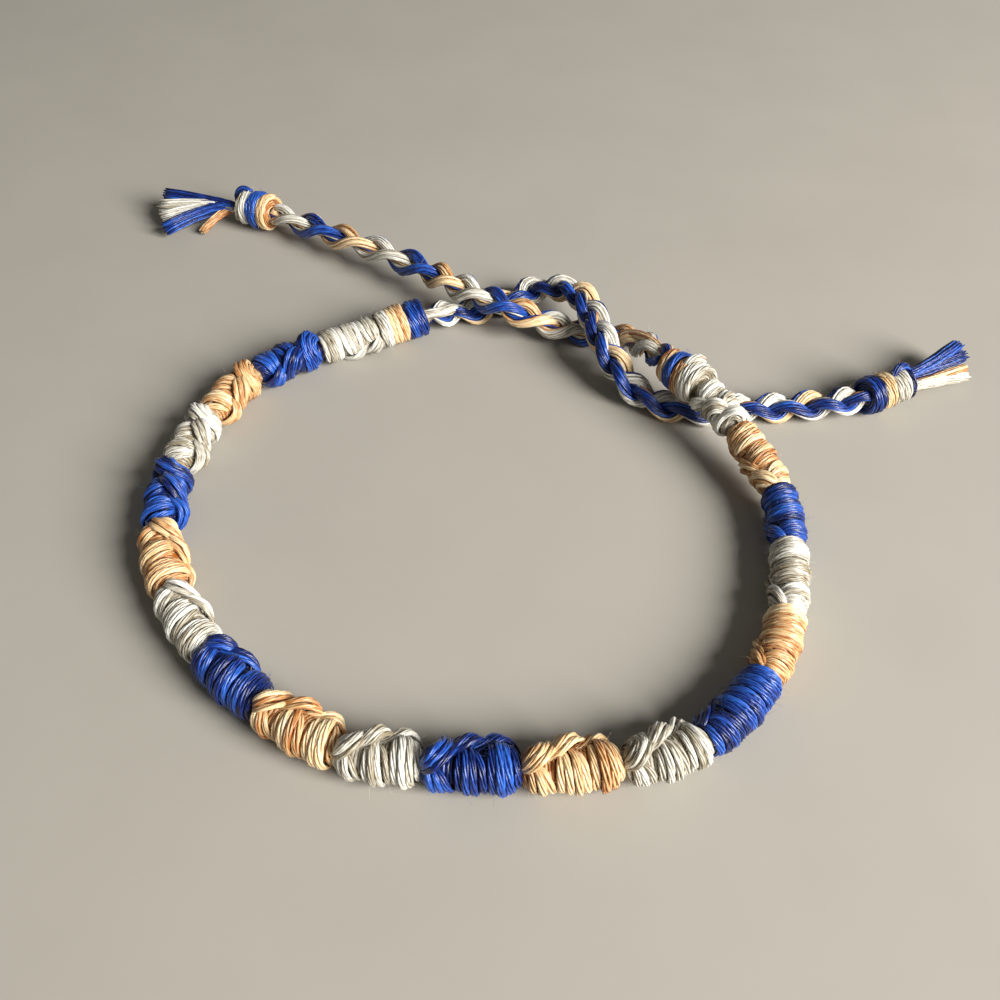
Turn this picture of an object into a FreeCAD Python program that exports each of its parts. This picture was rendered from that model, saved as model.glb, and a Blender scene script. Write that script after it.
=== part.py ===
import FreeCAD, Part
import math
import os

from FreeCAD import Vector

# A friendship bracelet of knotted stranded cotton, lying loose and round on a flat surface.
# Millimetres, +Z up. The origin is on that surface, under the middle of the whole bracelet.
#
# The band is a round cord of half hitches tied over carried threads, in nineteen blocks of one
# colour each. A knot of three coils ends it on both sides, and a flat braid of three strands runs
# off from each knot as a tie. Tie B crosses over tie A, then tie A crosses over tie B, and tie A
# goes on under the band's right end. Each tie ends in a coiled knot and a tassel of cut threads.

# The places in the tables below are measured from a point inside the band.
# This is where the middle of the whole bracelet's outline is, seen from there.
MIDDLE_X = 3.93
MIDDLE_Y = 11.45

# The air left between two pieces that the real threads press together
GAP = 0.1

# The carried threads and the hitches round them
CORE_RADIUS = 1.05
BORE_RADIUS = 1.2
WRAP_RADIUS = 2.06
HITCH_SWELL = 0.16
RIDGE_HEIGHT = 0.42
RIDGE_SPREAD = 34.0
RIDGE_TURN = 38.0
END_TUCK = 0.16
HITCHES = 3
BAND_SIDES = 12
CORE_SIDES = 8

# The band, one row for each block, from the start knot round to the finish knot.
# x, y and z are the middle of the cord where the block starts, colour is its thread, ridge is
# where the row of hitch loops starts, in degrees round the cord from its outer side over its top,
# and girth is how thick the block is beside the plain hitch sizes above.
BAND = (
    # x,     y,     z,   colour,  ridge, girth
    (-15.0, 25.6, 2.30, "cream", 170, 0.97),
    (-21.5, 22.3, 2.20, "blue", 60, 0.97),
    (-28.5, 17.6, 2.20, "peach", 60, 0.98),
    (-32.3, 10.7, 2.20, "cream", 45, 0.97),
    (-34.4, 2.6, 2.20, "blue", 40, 1.00),
    (-34.2, -5.9, 2.20, "peach", 85, 1.02),
    (-31.5, -13.7, 2.20, "cream", 90, 0.98),
    (-26.7, -20.6, 2.20, "blue", 95, 1.06),
    (-20.9, -26.0, 2.20, "peach", 60, 1.00),
    (-13.6, -30.4, 2.20, "cream", 55, 1.02),
    (-6.5, -31.6, 2.20, "blue", 55, 1.08),
    (1.8, -32.1, 2.20, "peach", 60, 1.03),
    (10.2, -31.6, 2.20, "cream", 55, 1.02),
    (17.4, -29.5, 2.20, "blue", 120, 0.97),
    (23.7, -23.2, 2.20, "peach", 120, 0.93),
    (27.0, -16.3, 2.20, "cream", 125, 0.92),
    (28.7, -8.1, 2.30, "blue", 130, 0.90),
    (28.6, -1.2, 2.90, "peach", 110, 0.92),
    (25.5, 6.2, 4.40, "cream", 60, 0.95),
)
# Where the last block ends, and the middles of the outer faces of the two end knots
BAND_END = (22.3, 11.7, 5.35)
START_FACE = (-9.0, 28.4, 2.40)
START_BEND = (-12.0, 27.1, 2.45)
FINISH_FACE = (18.9, 16.1, 5.30)

# The coils of the knots. along is how far the coil's middle is from the face that its braid
# leaves, width is its size along the cord, outer its radius, and lean how far its top is tipped
# away from the band, in degrees.
START_KNOT = (
    # colour, along, width, outer, lean
    ("cream", 5.80, 1.1, 2.35, -3),
    ("peach", 4.05, 1.9, 2.45, -4),
    ("blue", 1.50, 2.1, 2.45, -12),
)
FINISH_KNOT = (
    # colour, along, width, outer, lean
    ("cream", 4.05, 1.9, 2.45, 8),
    ("blue", 2.20, 1.2, 2.35, 10),
    ("peach", 0.85, 1.1, 2.15, 9),
)
TIE_A_KNOT = (
    # colour, along, width, outer, lean
    ("blue", 0.90, 1.7, 2.25, 3),
    ("peach", 2.85, 1.7, 2.20, 0),
    ("cream", 5.10, 2.0, 2.10, -7),
)
TIE_B_KNOT = (
    # colour, along, width, outer, lean
    ("peach", 0.75, 1.3, 2.50, 3),
    ("blue", 2.30, 1.4, 2.60, 2),
    ("cream", 4.05, 1.7, 2.40, -2),
)
COIL_BORE = 1.36
COIL_SIDES = 14
COIL_WIRE_SIDES = 6

# The routes of the ties, from the face of their knot on the band to their tassel.
# The last two places are the two faces of the tie's own knot.
TIE_A = (
    # x,    y,    z
    (-9.0, 28.4, 2.40),
    (-6.0, 30.0, 1.75),
    (-2.5, 30.9, 1.45),
    (0.6, 32.4, 1.45),
    (3.8, 34.2, 1.90),
    (7.1, 33.3, 3.10),
    (9.8, 30.4, 4.25),
    (11.3, 25.5, 4.45),
    (12.4, 20.5, 4.30),
    (14.1, 16.7, 3.10),
    (16.6, 14.4, 1.75),
    (19.7, 12.9, 1.43),
    (23.0, 12.3, 1.43),
    (26.8, 12.6, 1.43),
    (30.2, 12.8, 1.43),
    (33.4, 12.9, 1.55),
    (36.5, 13.0, 1.80),
    (39.2, 13.2, 2.10),
    (41.5, 13.7, 2.30),
    (47.6, 16.5, 2.30),
)
TIE_B = (
    # x,    y,    z
    (18.9, 16.1, 5.30),
    (18.0, 19.1, 4.60),
    (16.7, 22.4, 3.00),
    (14.8, 24.9, 1.75),
    (12.9, 26.0, 1.43),
    (10.8, 26.5, 1.43),
    (8.6, 26.9, 1.60),
    (6.1, 26.9, 2.45),
    (3.7, 26.9, 3.55),
    (1.2, 27.5, 4.30),
    (-1.2, 28.9, 4.45),
    (-3.7, 30.8, 4.45),
    (-6.3, 32.8, 4.40),
    (-8.9, 35.2, 4.10),
    (-11.6, 37.4, 3.90),
    (-15.7, 40.5, 3.70),
    (-19.9, 43.2, 3.50),
    (-25.1, 46.7, 3.10),
    (-31.4, 50.9, 2.70),
    (-37.2, 53.4, 2.60),
)

# The flat braids: half their width and half their height between the strands' middles, how much a
# braid is gripped in at its two ends, and how many turns of the braid lie behind a given length.
# Tie A is braided evenly, a turn to 12.3 mm, and tie B is tighter near the band, where a turn
# takes 13 mm, than further out, where it takes 17.3 mm.
TIE_A_HALF_WIDTH = 1.25
TIE_B_HALF_WIDTH = 1.42
BRAID_HALF_HEIGHT = 0.83
STRAND_RADIUS = 0.575
STRAND_SIDES = 6
STRAND_STEPS = 12
GRIP = 0.8
GRIP_LENGTH = 4.0
BRAID_END_GAP = 0.6
TIE_A_PHASE = 172.0
TIE_B_PHASE = 245.0
TIE_A_TURNS = (
    # length, turns
    (0.0, 0.0),
    (80.0, 6.504),
)
TIE_B_TURNS = (
    # length, turns
    (0.0, 0.0),
    (38.6, 2.969),
    (75.0, 5.073),
)

# The tassels. Each lock of cut threads runs from the tie's knot to a tip, and is thin at its root.
LOCK_ROOT_RADIUS = 0.45
LOCK_SIDES = 6
LOCK_STEPS = 4
HEAD_RADIUS = 1.1
HEAD_SIDES = 8
ROOT_SPREAD = 0.62
TIE_A_LOCKS = (
    # tip x, y,  z,   tip radius
    (54.4, 22.0, 3.5, 1.05),
    (55.3, 20.3, 2.3, 0.85),
    (55.2, 18.3, 1.3, 0.80),
    (53.0, 21.4, 1.2, 0.75),
)
TIE_B_LOCKS = (
    # tip x, y,  z,   tip radius
    (-47.2, 56.6, 1.9, 0.80),
    (-47.7, 54.2, 3.0, 1.00),
    (-47.4, 52.0, 2.0, 0.75),
    (-46.4, 49.4, 1.3, 0.90),
    (-41.2, 49.9, 0.8, 0.65),
)


# Places and routes

def place(x, y, z):
    return Vector(x - MIDDLE_X, y - MIDDLE_Y, z)


def curve_point(before, start, end, after, part):
    # A smooth curve through start and end, whose slope at each is set by its neighbours
    square = part * part
    cube = square * part
    return (start * 2 + (end - before) * part
            + (before * 2 - start * 5 + end * 4 - after) * square
            + (start * 3 - before - end * 3 + after) * cube) * 0.5


class Route:
    # A smooth line through places, measured by the length run along it

    def __init__(self, places):
        divisions = 12
        ends = [places[0] * 2 - places[1]] + places + [places[-1] * 2 - places[-2]]
        self.points = [places[0]]
        self.lengths = [0.0]
        self.marks = [0.0]
        for index in range(len(places) - 1):
            for step in range(1, divisions + 1):
                point = curve_point(*ends[index:index + 4], step / divisions)
                self.lengths.append(self.lengths[-1] + point.sub(self.points[-1]).Length)
                self.points.append(point)
            self.marks.append(self.lengths[-1])
        self.length = self.lengths[-1]

    def at(self, length):
        index = 1
        while index < len(self.points) - 1 and self.lengths[index] < length:
            index += 1
        start, end = self.points[index - 1], self.points[index]
        part = (length - self.lengths[index - 1]) / (self.lengths[index] - self.lengths[index - 1])
        return start + (end - start) * part

    def frame(self, length):
        # The place, the way ahead, the way out to the right of it, and the way up
        reach = 0.4
        ahead = (self.at(length + reach) - self.at(length - reach)).normalize()
        right = ahead.cross(Vector(0, 0, 1)).normalize()
        return self.at(length), ahead, right, right.cross(ahead)


def on_surface(point):
    return Vector(point.x, point.y, max(point.z, 0.0))


# Solids from rings of points

def ring(centre, across, up, radii):
    count = len(radii)
    points = []
    for index, radius in enumerate(radii):
        angle = 2 * math.pi * index / count
        points.append(on_surface(centre + across * (radius * math.cos(angle))
                                 + up * (radius * math.sin(angle))))
    return points


def bands(first_row, rows, count, turned):
    # Two triangles for each step round and along rows of points
    facets = []
    for row in range(first_row, first_row + rows - 1):
        for index in range(count):
            a = row * count + index
            b = row * count + (index + 1) % count
            c = a + count
            d = b + count
            facets += [(a, d, b), (a, c, d)] if turned else [(a, b, d), (a, d, c)]
    return facets


def solid_of(points, facets):
    shell = Part.Shape()
    shell.makeShapeFromMesh((points, facets), 0.0005)
    solid = Part.makeSolid(shell)
    if solid.Volume < 0:
        solid.reverse()
    return solid


def closed_tube(rings):
    count = len(rings[0])
    points = [point for row in rings for point in row]
    facets = bands(0, len(rings), count, False)
    last = (len(rings) - 1) * count
    start_middle = len(points)
    for row in (rings[0], rings[-1]):
        middle = Vector(0, 0, 0)
        for point in row:
            middle += point
        points.append(middle * (1.0 / count))
    for index in range(count):
        following = (index + 1) % count
        facets.append((start_middle, following, index))
        facets.append((start_middle + 1, last + index, last + following))
    return solid_of(points, facets)


def bored_tube(outer, inner):
    # outer and inner are rings of the same count, and the two skins meet at both ends
    count = len(outer[0])
    points = [point for row in outer + inner for point in row]
    facets = bands(0, len(outer), count, False) + bands(len(outer), len(inner), count, True)
    last_outer = (len(outer) - 1) * count
    first_inner = len(outer) * count
    last_inner = first_inner + (len(inner) - 1) * count
    for index in range(count):
        following = (index + 1) % count
        facets.append((index, first_inner + index, first_inner + following))
        facets.append((index, first_inner + following, following))
        facets.append((last_outer + index, last_outer + following, last_inner + following))
        facets.append((last_outer + index, last_inner + following, last_inner + index))
    return solid_of(points, facets)


def ring_tube(sections):
    # Sections that follow each other round a closed loop
    count = len(sections[0])
    rows = len(sections)
    points = [point for row in sections for point in row]
    facets = []
    for row in range(rows):
        for index in range(count):
            a = row * count + index
            b = row * count + (index + 1) % count
            c = (row + 1) % rows * count + index
            d = (row + 1) % rows * count + (index + 1) % count
            facets += [(a, b, d), (a, d, c)]
    return solid_of(points, facets)


# The band

def hitch_radii(along, ridge, girth):
    # along runs from 0 to HITCHES over the block. Each hitch swells in its middle, and the loops
    # that lock the hitches stand up as a ridge that turns slowly round the cord.
    swell = HITCH_SWELL * math.sin(math.pi * (along % 1.0)) ** 2
    tuck = END_TUCK if along in (0, HITCHES) else 0.0
    crest = math.radians(ridge + RIDGE_TURN * along)
    height = RIDGE_HEIGHT * (0.45 + 0.55 * math.sin(math.pi * (along % 1.0)))
    radii = []
    for index in range(BAND_SIDES):
        angle = 2 * math.pi * index / BAND_SIDES
        away = math.degrees(abs(math.remainder(angle - crest, 2 * math.pi)))
        loop = height * math.exp(-(away / RIDGE_SPREAD) ** 2)
        radii.append((WRAP_RADIUS + swell + loop - tuck) * girth)
    return radii


def make_block(route, start, end, ridge, girth):
    spans = HITCHES * 3
    outer = []
    inner = []
    for step in range(spans + 1):
        along = step / 3.0
        length = start + (end - start) * step / spans
        centre, ahead, right, up = route.frame(length)
        outer.append(ring(centre, right, up, hitch_radii(along, ridge, girth)))
        if step % 3 == 0:
            inner.append(ring(centre, right, up, [BORE_RADIUS] * BAND_SIDES))
    return bored_tube(outer, inner)


def make_core(route):
    spacing = 2.75
    steps = int((route.length - GAP) / spacing)
    rings = []
    for step in range(steps + 1):
        length = GAP / 2 + (route.length - GAP) * step / steps
        centre, ahead, right, up = route.frame(length)
        rings.append(ring(centre, right, up, [CORE_RADIUS] * CORE_SIDES))
    return closed_tube(rings)


# The knots

def make_coil(route, length, width, outer, lean):
    centre, ahead, right, up = route.frame(length)
    tip = math.radians(lean)
    axis = ahead * math.cos(tip) - up * math.sin(tip)
    rise = up * math.cos(tip) + ahead * math.sin(tip)
    middle_radius = (outer + COIL_BORE) / 2
    depth = (outer - COIL_BORE) / 2
    sections = []
    for step in range(COIL_SIDES):
        turn = 2 * math.pi * (step + 0.5) / COIL_SIDES
        outward = right * math.cos(turn) + rise * math.sin(turn)
        section = []
        for corner in range(COIL_WIRE_SIDES):
            angle = 2 * math.pi * corner / COIL_WIRE_SIDES
            reach = middle_radius + depth * math.cos(angle)
            shift = width / 2 * math.sin(angle) / math.sin(math.pi / 3)
            section.append(on_surface(centre + outward * reach - axis * shift))
        sections.append(section)
    return ring_tube(sections)


# The ties

def grip_at(length, whole):
    part = min(1.0, min(length, whole - length) / GRIP_LENGTH)
    return GRIP + (1 - GRIP) * part * part * (3 - 2 * part)


def turns_at(length, rows):
    for (start, before), (end, after) in zip(rows, rows[1:]):
        if length <= end:
            break
    return before + (after - before) * (length - start) / (end - start)


def strand_middle(route, length, whole, half_width, phase, turns):
    # The strand goes from the braid's middle out to an edge on top, and comes back underneath
    centre, ahead, right, up = route.frame(length)
    turn = phase + 2 * math.pi * turns_at(length, turns)
    across = half_width * math.sin(turn) * grip_at(length, whole)
    return centre + right * across + up * (BRAID_HALF_HEIGHT * math.sin(2 * turn))


def make_strand(route, whole, half_width, phase, turns):
    steps = round(STRAND_STEPS * turns_at(whole, turns))
    reach = 0.2
    rings = []
    for step in range(steps + 1):
        length = BRAID_END_GAP + (whole - 2 * BRAID_END_GAP) * step / steps
        before, middle, after = [strand_middle(route, at, whole, half_width, phase, turns)
                                 for at in (length - reach, length, length + reach)]
        ahead = (after - before).normalize()
        right = ahead.cross(Vector(0, 0, 1)).normalize()
        radius = STRAND_RADIUS * grip_at(length, whole)
        rings.append(ring(middle, right, right.cross(ahead), [radius] * STRAND_SIDES))
    return closed_tube(rings)


def make_lock(root, tip, heading, tip_radius):
    # A bundle that leaves the head along heading and opens towards its blunt tip
    reach = tip.sub(root).Length
    steer = root + heading * (reach * 0.35)
    rings = []
    for step in range(LOCK_STEPS + 1):
        part = step / LOCK_STEPS
        middle = root * (1 - part) ** 2 + steer * (2 * part * (1 - part)) + tip * part ** 2
        ahead = ((steer - root) * (1 - part) + (tip - steer) * part).normalize()
        right = ahead.cross(Vector(0, 0, 1)).normalize()
        radius = LOCK_ROOT_RADIUS + (tip_radius - LOCK_ROOT_RADIUS) * part
        rings.append(ring(middle, right, right.cross(ahead), [radius] * LOCK_SIDES))
    return closed_tube(rings)


def make_tassel(route, start, locks):
    # The head runs through the tie's knot, and the locks grow out of its far end
    rings = []
    for length in (start + GAP, (start + route.length) / 2, route.length + GAP * 3):
        centre, ahead, right, up = route.frame(length)
        rings.append(ring(centre, right, up, [HEAD_RADIUS] * HEAD_SIDES))
    head = closed_tube(rings)
    face, ahead, right, up = route.frame(route.length)
    bundles = []
    for tip_x, tip_y, tip_z, tip_radius in locks:
        tip = place(tip_x, tip_y, tip_z)
        away = tip - face
        aside = away - ahead * away.dot(ahead)
        root = face - ahead * 0.6
        if aside.Length > 0:
            root += aside.normalize() * ROOT_SPREAD
        bundles.append(make_lock(root, tip, ahead, tip_radius))
    return head.fuse(bundles).removeSplitter()


# Putting the bracelet together

def export(shape, name):
    solids = shape.Solids
    assert len(solids) == 1 and shape.isValid(), name
    solids[0].exportStep("parts/" + name + ".step")
    low, high = solids[0].BoundBox.ZMin, solids[0].BoundBox.ZMax
    print(name, len(shape.Faces), "faces", round(shape.Volume, 1), "mm3, z", round(low, 2), round(high, 2))
    return shape


def make_band():
    edges = [place(*row[:3]) for row in BAND] + [place(*BAND_END)]
    route = Route([place(*START_FACE), place(*START_BEND)] + edges + [place(*FINISH_FACE)])
    first_edge = 2
    pieces = {"band_core": make_core(route)}
    for index, (x, y, z, colour, ridge, girth) in enumerate(BAND):
        start = route.marks[first_edge + index] + GAP / 2
        end = route.marks[first_edge + index + 1] - GAP / 2
        name = "band_block_%02d_%s" % (index + 1, colour)
        pieces[name] = make_block(route, start, end, ridge, girth)
    for colour, along, width, outer, lean in START_KNOT:
        pieces["start_knot_" + colour] = make_coil(route, along, width, outer, -lean)
    for colour, along, width, outer, lean in FINISH_KNOT:
        pieces["finish_knot_" + colour] = make_coil(route, route.length - along, width, outer, lean)
    return pieces


def make_tie(name, rows, half_width, phase, turns, knot, locks):
    route = Route([place(*row) for row in rows])
    braid_end = route.marks[-2]
    pieces = {}
    for index in range(3):
        strand_phase = math.radians(phase + 120 * index)
        strand = make_strand(route, braid_end, half_width, strand_phase, turns)
        pieces["%s_strand_%d" % (name, index + 1)] = strand
    for colour, along, width, outer, lean in knot:
        pieces["%s_knot_%s" % (name, colour)] = make_coil(route, braid_end + along, width, outer, lean)
    pieces[name + "_tassel"] = make_tassel(route, braid_end, locks)
    return pieces


os.makedirs("parts", exist_ok=True)
bracelet = make_band()
bracelet.update(make_tie("tie_a", TIE_A, TIE_A_HALF_WIDTH, TIE_A_PHASE, TIE_A_TURNS,
                         TIE_A_KNOT, TIE_A_LOCKS))
bracelet.update(make_tie("tie_b", TIE_B, TIE_B_HALF_WIDTH, TIE_B_PHASE, TIE_B_TURNS,
                         TIE_B_KNOT, TIE_B_LOCKS))
whole = Part.makeCompound([export(shape, name) for name, shape in bracelet.items()])
box = whole.BoundBox
print("triangles", len(whole.Faces), "volume", round(whole.Volume, 1))
print("x", round(box.XMin, 2), round(box.XMax, 2), "y", round(box.YMin, 2), round(box.YMax, 2),
      "z", round(box.ZMin, 2), round(box.ZMax, 2))
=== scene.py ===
# %% [markdown]
# A friendship bracelet, knotted from stranded embroidery cotton in blue, peach and cream.
# The solid model gives every piece its place and its outer size. Here each of those pieces gets
# what the eye looks for in the real thing: the single threads, their lustre and their fuzz.

# %% Load the frame
import math

import bpy
import numpy as np
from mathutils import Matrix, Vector


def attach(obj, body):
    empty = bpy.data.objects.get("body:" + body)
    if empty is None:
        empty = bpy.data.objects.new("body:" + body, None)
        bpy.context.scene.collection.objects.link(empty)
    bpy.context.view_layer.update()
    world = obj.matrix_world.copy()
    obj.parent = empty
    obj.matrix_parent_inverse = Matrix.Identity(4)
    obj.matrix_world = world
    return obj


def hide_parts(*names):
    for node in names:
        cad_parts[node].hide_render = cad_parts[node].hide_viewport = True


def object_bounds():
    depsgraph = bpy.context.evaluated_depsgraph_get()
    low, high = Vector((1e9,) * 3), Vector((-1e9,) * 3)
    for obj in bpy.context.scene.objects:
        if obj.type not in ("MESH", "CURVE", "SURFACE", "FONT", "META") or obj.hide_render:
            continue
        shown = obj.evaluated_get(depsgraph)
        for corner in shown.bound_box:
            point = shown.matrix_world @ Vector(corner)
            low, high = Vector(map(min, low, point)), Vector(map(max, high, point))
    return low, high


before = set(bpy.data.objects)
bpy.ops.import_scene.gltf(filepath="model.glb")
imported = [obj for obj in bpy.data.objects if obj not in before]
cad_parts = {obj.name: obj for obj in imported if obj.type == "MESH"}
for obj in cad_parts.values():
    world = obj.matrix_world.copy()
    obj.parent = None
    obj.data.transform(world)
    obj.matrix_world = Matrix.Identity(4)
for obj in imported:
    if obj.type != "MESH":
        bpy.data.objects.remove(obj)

MM = 0.001
cad_box = [list(corner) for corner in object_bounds()]
print("nodes", len(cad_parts), "box in mm", [[round(n / MM, 1) for n in c] for c in cad_box])

# %% [markdown]
# The camera. The bracelet is small and was taken from close by, so the perspective is strong and
# the near side of the loop looks larger than the far one. A lens as long as the sensor is wide
# gives that view, from about 11 cm away and 48 degrees above the table.

# %% Camera
CAMERA_PLACE = Vector((-3.93, -82.60, 79.45)) * MM
CAMERA_AIM = Vector((-3.93, -11.45, 0.0)) * MM
LENS = 36.0

camera_data = bpy.data.cameras.new("camera")
camera_data.lens = LENS
camera_data.sensor_width = LENS
camera_data.clip_start = 1 * MM
camera = bpy.data.objects.new("camera", camera_data)
camera.location = CAMERA_PLACE
camera.rotation_euler = (CAMERA_AIM - CAMERA_PLACE).to_track_quat("-Z", "Y").to_euler()
bpy.context.scene.collection.objects.link(camera)
bpy.context.scene.camera = camera
print("camera is", round((CAMERA_AIM - CAMERA_PLACE).length / MM), "mm from its aim")

# %% [markdown]
# The light. A wide soft lamp stands to the right and in front, about 30 degrees up, as a window
# would. It lights the right and near sides of the threads and drops a long shadow to the left
# and back. A pale surround fills the shadows. The plain view transform keeps the dyes as bright
# as they are.

# %% Lights
KEY_DIRECTION = Vector((0.72, -0.50, 0.51)).normalized()
KEY_DISTANCE = 700 * MM
KEY_SIZE = 400 * MM
KEY_POWER = 11.4
KEY_COLOUR = (1.0, 0.985, 0.955)
SURROUND = (0.90, 0.89, 0.86, 1.0)
SURROUND_STRENGTH = 0.14

key_data = bpy.data.lights.new("key", "AREA")
key_data.shape = "DISK"
key_data.size = KEY_SIZE
key_data.energy = KEY_POWER
key_data.color = KEY_COLOUR
key = bpy.data.objects.new("key", key_data)
key.location = KEY_DIRECTION * KEY_DISTANCE
key.rotation_euler = KEY_DIRECTION.to_track_quat("Z", "Y").to_euler()
bpy.context.scene.collection.objects.link(key)

world = bpy.data.worlds.new("surround")
world.use_nodes = True
world.node_tree.nodes["Background"].inputs["Color"].default_value = SURROUND
world.node_tree.nodes["Background"].inputs["Strength"].default_value = SURROUND_STRENGTH
bpy.context.scene.world = world
bpy.context.scene.view_settings.view_transform = "Standard"
print("key light", KEY_POWER, "W")

# %% [markdown]
# Colours are written as the hex values that a paint program shows, and Blender's shaders work
# in linear light, so one function turns the first into the second. A second small function adds
# a node to a material, with its settings and its links, so that a finish reads as a short list.

# %% Helpers for materials
def linear(hex_colour):
    values = [int(hex_colour[at:at + 2], 16) / 255 for at in (1, 3, 5)]
    return [v / 12.92 if v <= 0.04045 else ((v + 0.055) / 1.055) ** 2.4 for v in values] + [1.0]


def add_node(material, kind, settings=(), links=()):
    node = material.node_tree.nodes.new(kind)
    for name, value in dict(settings).items():
        if isinstance(name, int) or name in node.inputs:
            node.inputs[name].default_value = value
        else:
            setattr(node, name, value)
    for name, socket in dict(links).items():
        material.node_tree.links.new(socket, node.inputs[name])
    return node


def new_material(name):
    material = bpy.data.materials.new(name)
    material.use_nodes = True
    material.node_tree.nodes.clear()
    return material


print("white is", linear("#FFFFFF"))

# %% [markdown]
# The floor is a plain matt card. It only carries the shadow, so it has no pattern, just a very
# faint mottle, about 16 mm across, that keeps it from looking like a flat backdrop.

# %% Floor
FLOOR_SIDE = 1400 * MM
FLOOR_DROP = 0.02 * MM
MOTTLES_ACROSS = 90.0


def make_card():
    material = new_material("matt_card")
    mottle = add_node(material, "ShaderNodeTexNoise", {"Scale": MOTTLES_ACROSS, "Detail": 4.0})
    tint = add_node(material, "ShaderNodeValToRGB", links={"Fac": mottle.outputs["Fac"]})
    tint.color_ramp.elements[0].color = linear("#A6A197")
    tint.color_ramp.elements[1].color = linear("#AEA99F")
    shader = add_node(material, "ShaderNodeBsdfPrincipled", {"Roughness": 0.85, "IOR": 1.45},
                      {"Base Color": tint.outputs["Color"]})
    add_node(material, "ShaderNodeOutputMaterial", links={"Surface": shader.outputs["BSDF"]})
    return material


half = FLOOR_SIDE / 2
floor_mesh = bpy.data.meshes.new("floor")
floor_mesh.from_pydata([(-half, -half, -FLOOR_DROP), (half, -half, -FLOOR_DROP),
                        (half, half, -FLOOR_DROP), (-half, half, -FLOOR_DROP)], [], [(0, 1, 2, 3)])
floor_mesh.materials.append(make_card())
floor = bpy.data.objects.new("floor", floor_mesh)
bpy.context.scene.collection.objects.link(floor)
print("floor", round(FLOOR_SIDE / MM), "mm square")

# %% [markdown]
# Mercerised cotton floss. The treatment swells and smooths the fibres, which gives the thread a
# soft silky shine along its length and a strong, clean dye. It was spun from two ends, so fine
# slanting lines run round each thread. The shine is a middling roughness with a little sheen for
# the fuzz. The twist is a bump worked out from each thread's own length and girth, in real
# millimetres, and each thread is dyed a little lighter or darker than the one beside it.

# %% Twist and fibres of the floss
# The two ends turn once in 1.8 mm, so a ridge of the twist passes every 0.9 mm. FIBRE_LENGTH is in
# millimetres too, and FIBRE_WIDTH is a share of the way round a thread, about 0.12 mm. A cotton
# fibre is only some 0.015 mm thick, which is too fine to show, so the fibres are drawn as
# streaks of about one pixel.
TWIST_PITCH = 0.9
TWIST_ENDS = 2
TWIST_DEPTH = 0.02 * MM
FIBRE_LENGTH = 1.4
FIBRE_WIDTH = 0.14
FIBRE_DEPTH = 0.05 * MM


def add_fibres(material, run):
    # Streaks that run along the thread
    stretched = add_node(material, "ShaderNodeMapping",
                         {"Scale": (1 / FIBRE_LENGTH, 1 / FIBRE_WIDTH, 1.0)},
                         {"Vector": run.outputs["UV"]})
    return add_node(material, "ShaderNodeTexNoise", {"Scale": 1.0, "Detail": 3.0},
                    {"Vector": stretched.outputs["Vector"]})


def add_relief(material, run, fibres):
    # The slanting ridges of the twist, and the grooves between the fibres on top of them
    parts = add_node(material, "ShaderNodeSeparateXYZ", links={"Vector": run.outputs["UV"]})
    turns = add_node(material, "ShaderNodeMath",
                     {"operation": "MULTIPLY", 1: 2 * math.pi / TWIST_PITCH},
                     {0: parts.outputs["X"]})
    around = add_node(material, "ShaderNodeMath",
                      {"operation": "MULTIPLY_ADD", 1: 2 * math.pi * TWIST_ENDS},
                      {0: parts.outputs["Y"], 2: turns.outputs["Value"]})
    ridge = add_node(material, "ShaderNodeMath", {"operation": "SINE"},
                     {0: around.outputs["Value"]})
    twist = add_node(material, "ShaderNodeBump", {"Strength": 0.3, "Distance": TWIST_DEPTH},
                     {"Height": ridge.outputs["Value"]})
    return add_node(material, "ShaderNodeBump", {"Strength": 0.8, "Distance": FIBRE_DEPTH},
                    {"Height": fibres.outputs["Fac"], "Normal": twist.outputs["Normal"]})


print("a ridge of the twist every", TWIST_PITCH, "mm")

# %% [markdown]
# The dye. Each thread has a tone of its own, and its fibres are streaked lighter and darker. The
# two together pick a colour on a ramp, from the deep one to the light one. The same streaks
# raise the fibre bump, so the deep colour in the grooves between the fibres is painted shade and
# the light one on the raised fibres a painted highlight. Cotton's IOR lies between 1.53 across the
# fibre and 1.58 along it, and the treated thread is smooth enough for a soft gleam.

# %% Cotton floss
TONE_SPREAD = 0.4
# Where the deep, middle and light colours sit on the ramp, which holds each thread's own dye and
# also painted shade in the fibre grooves and a painted highlight on the raised fibres.
DYE_AND_SHADE_STOPS = (0.28, 0.5, 0.75)


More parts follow.
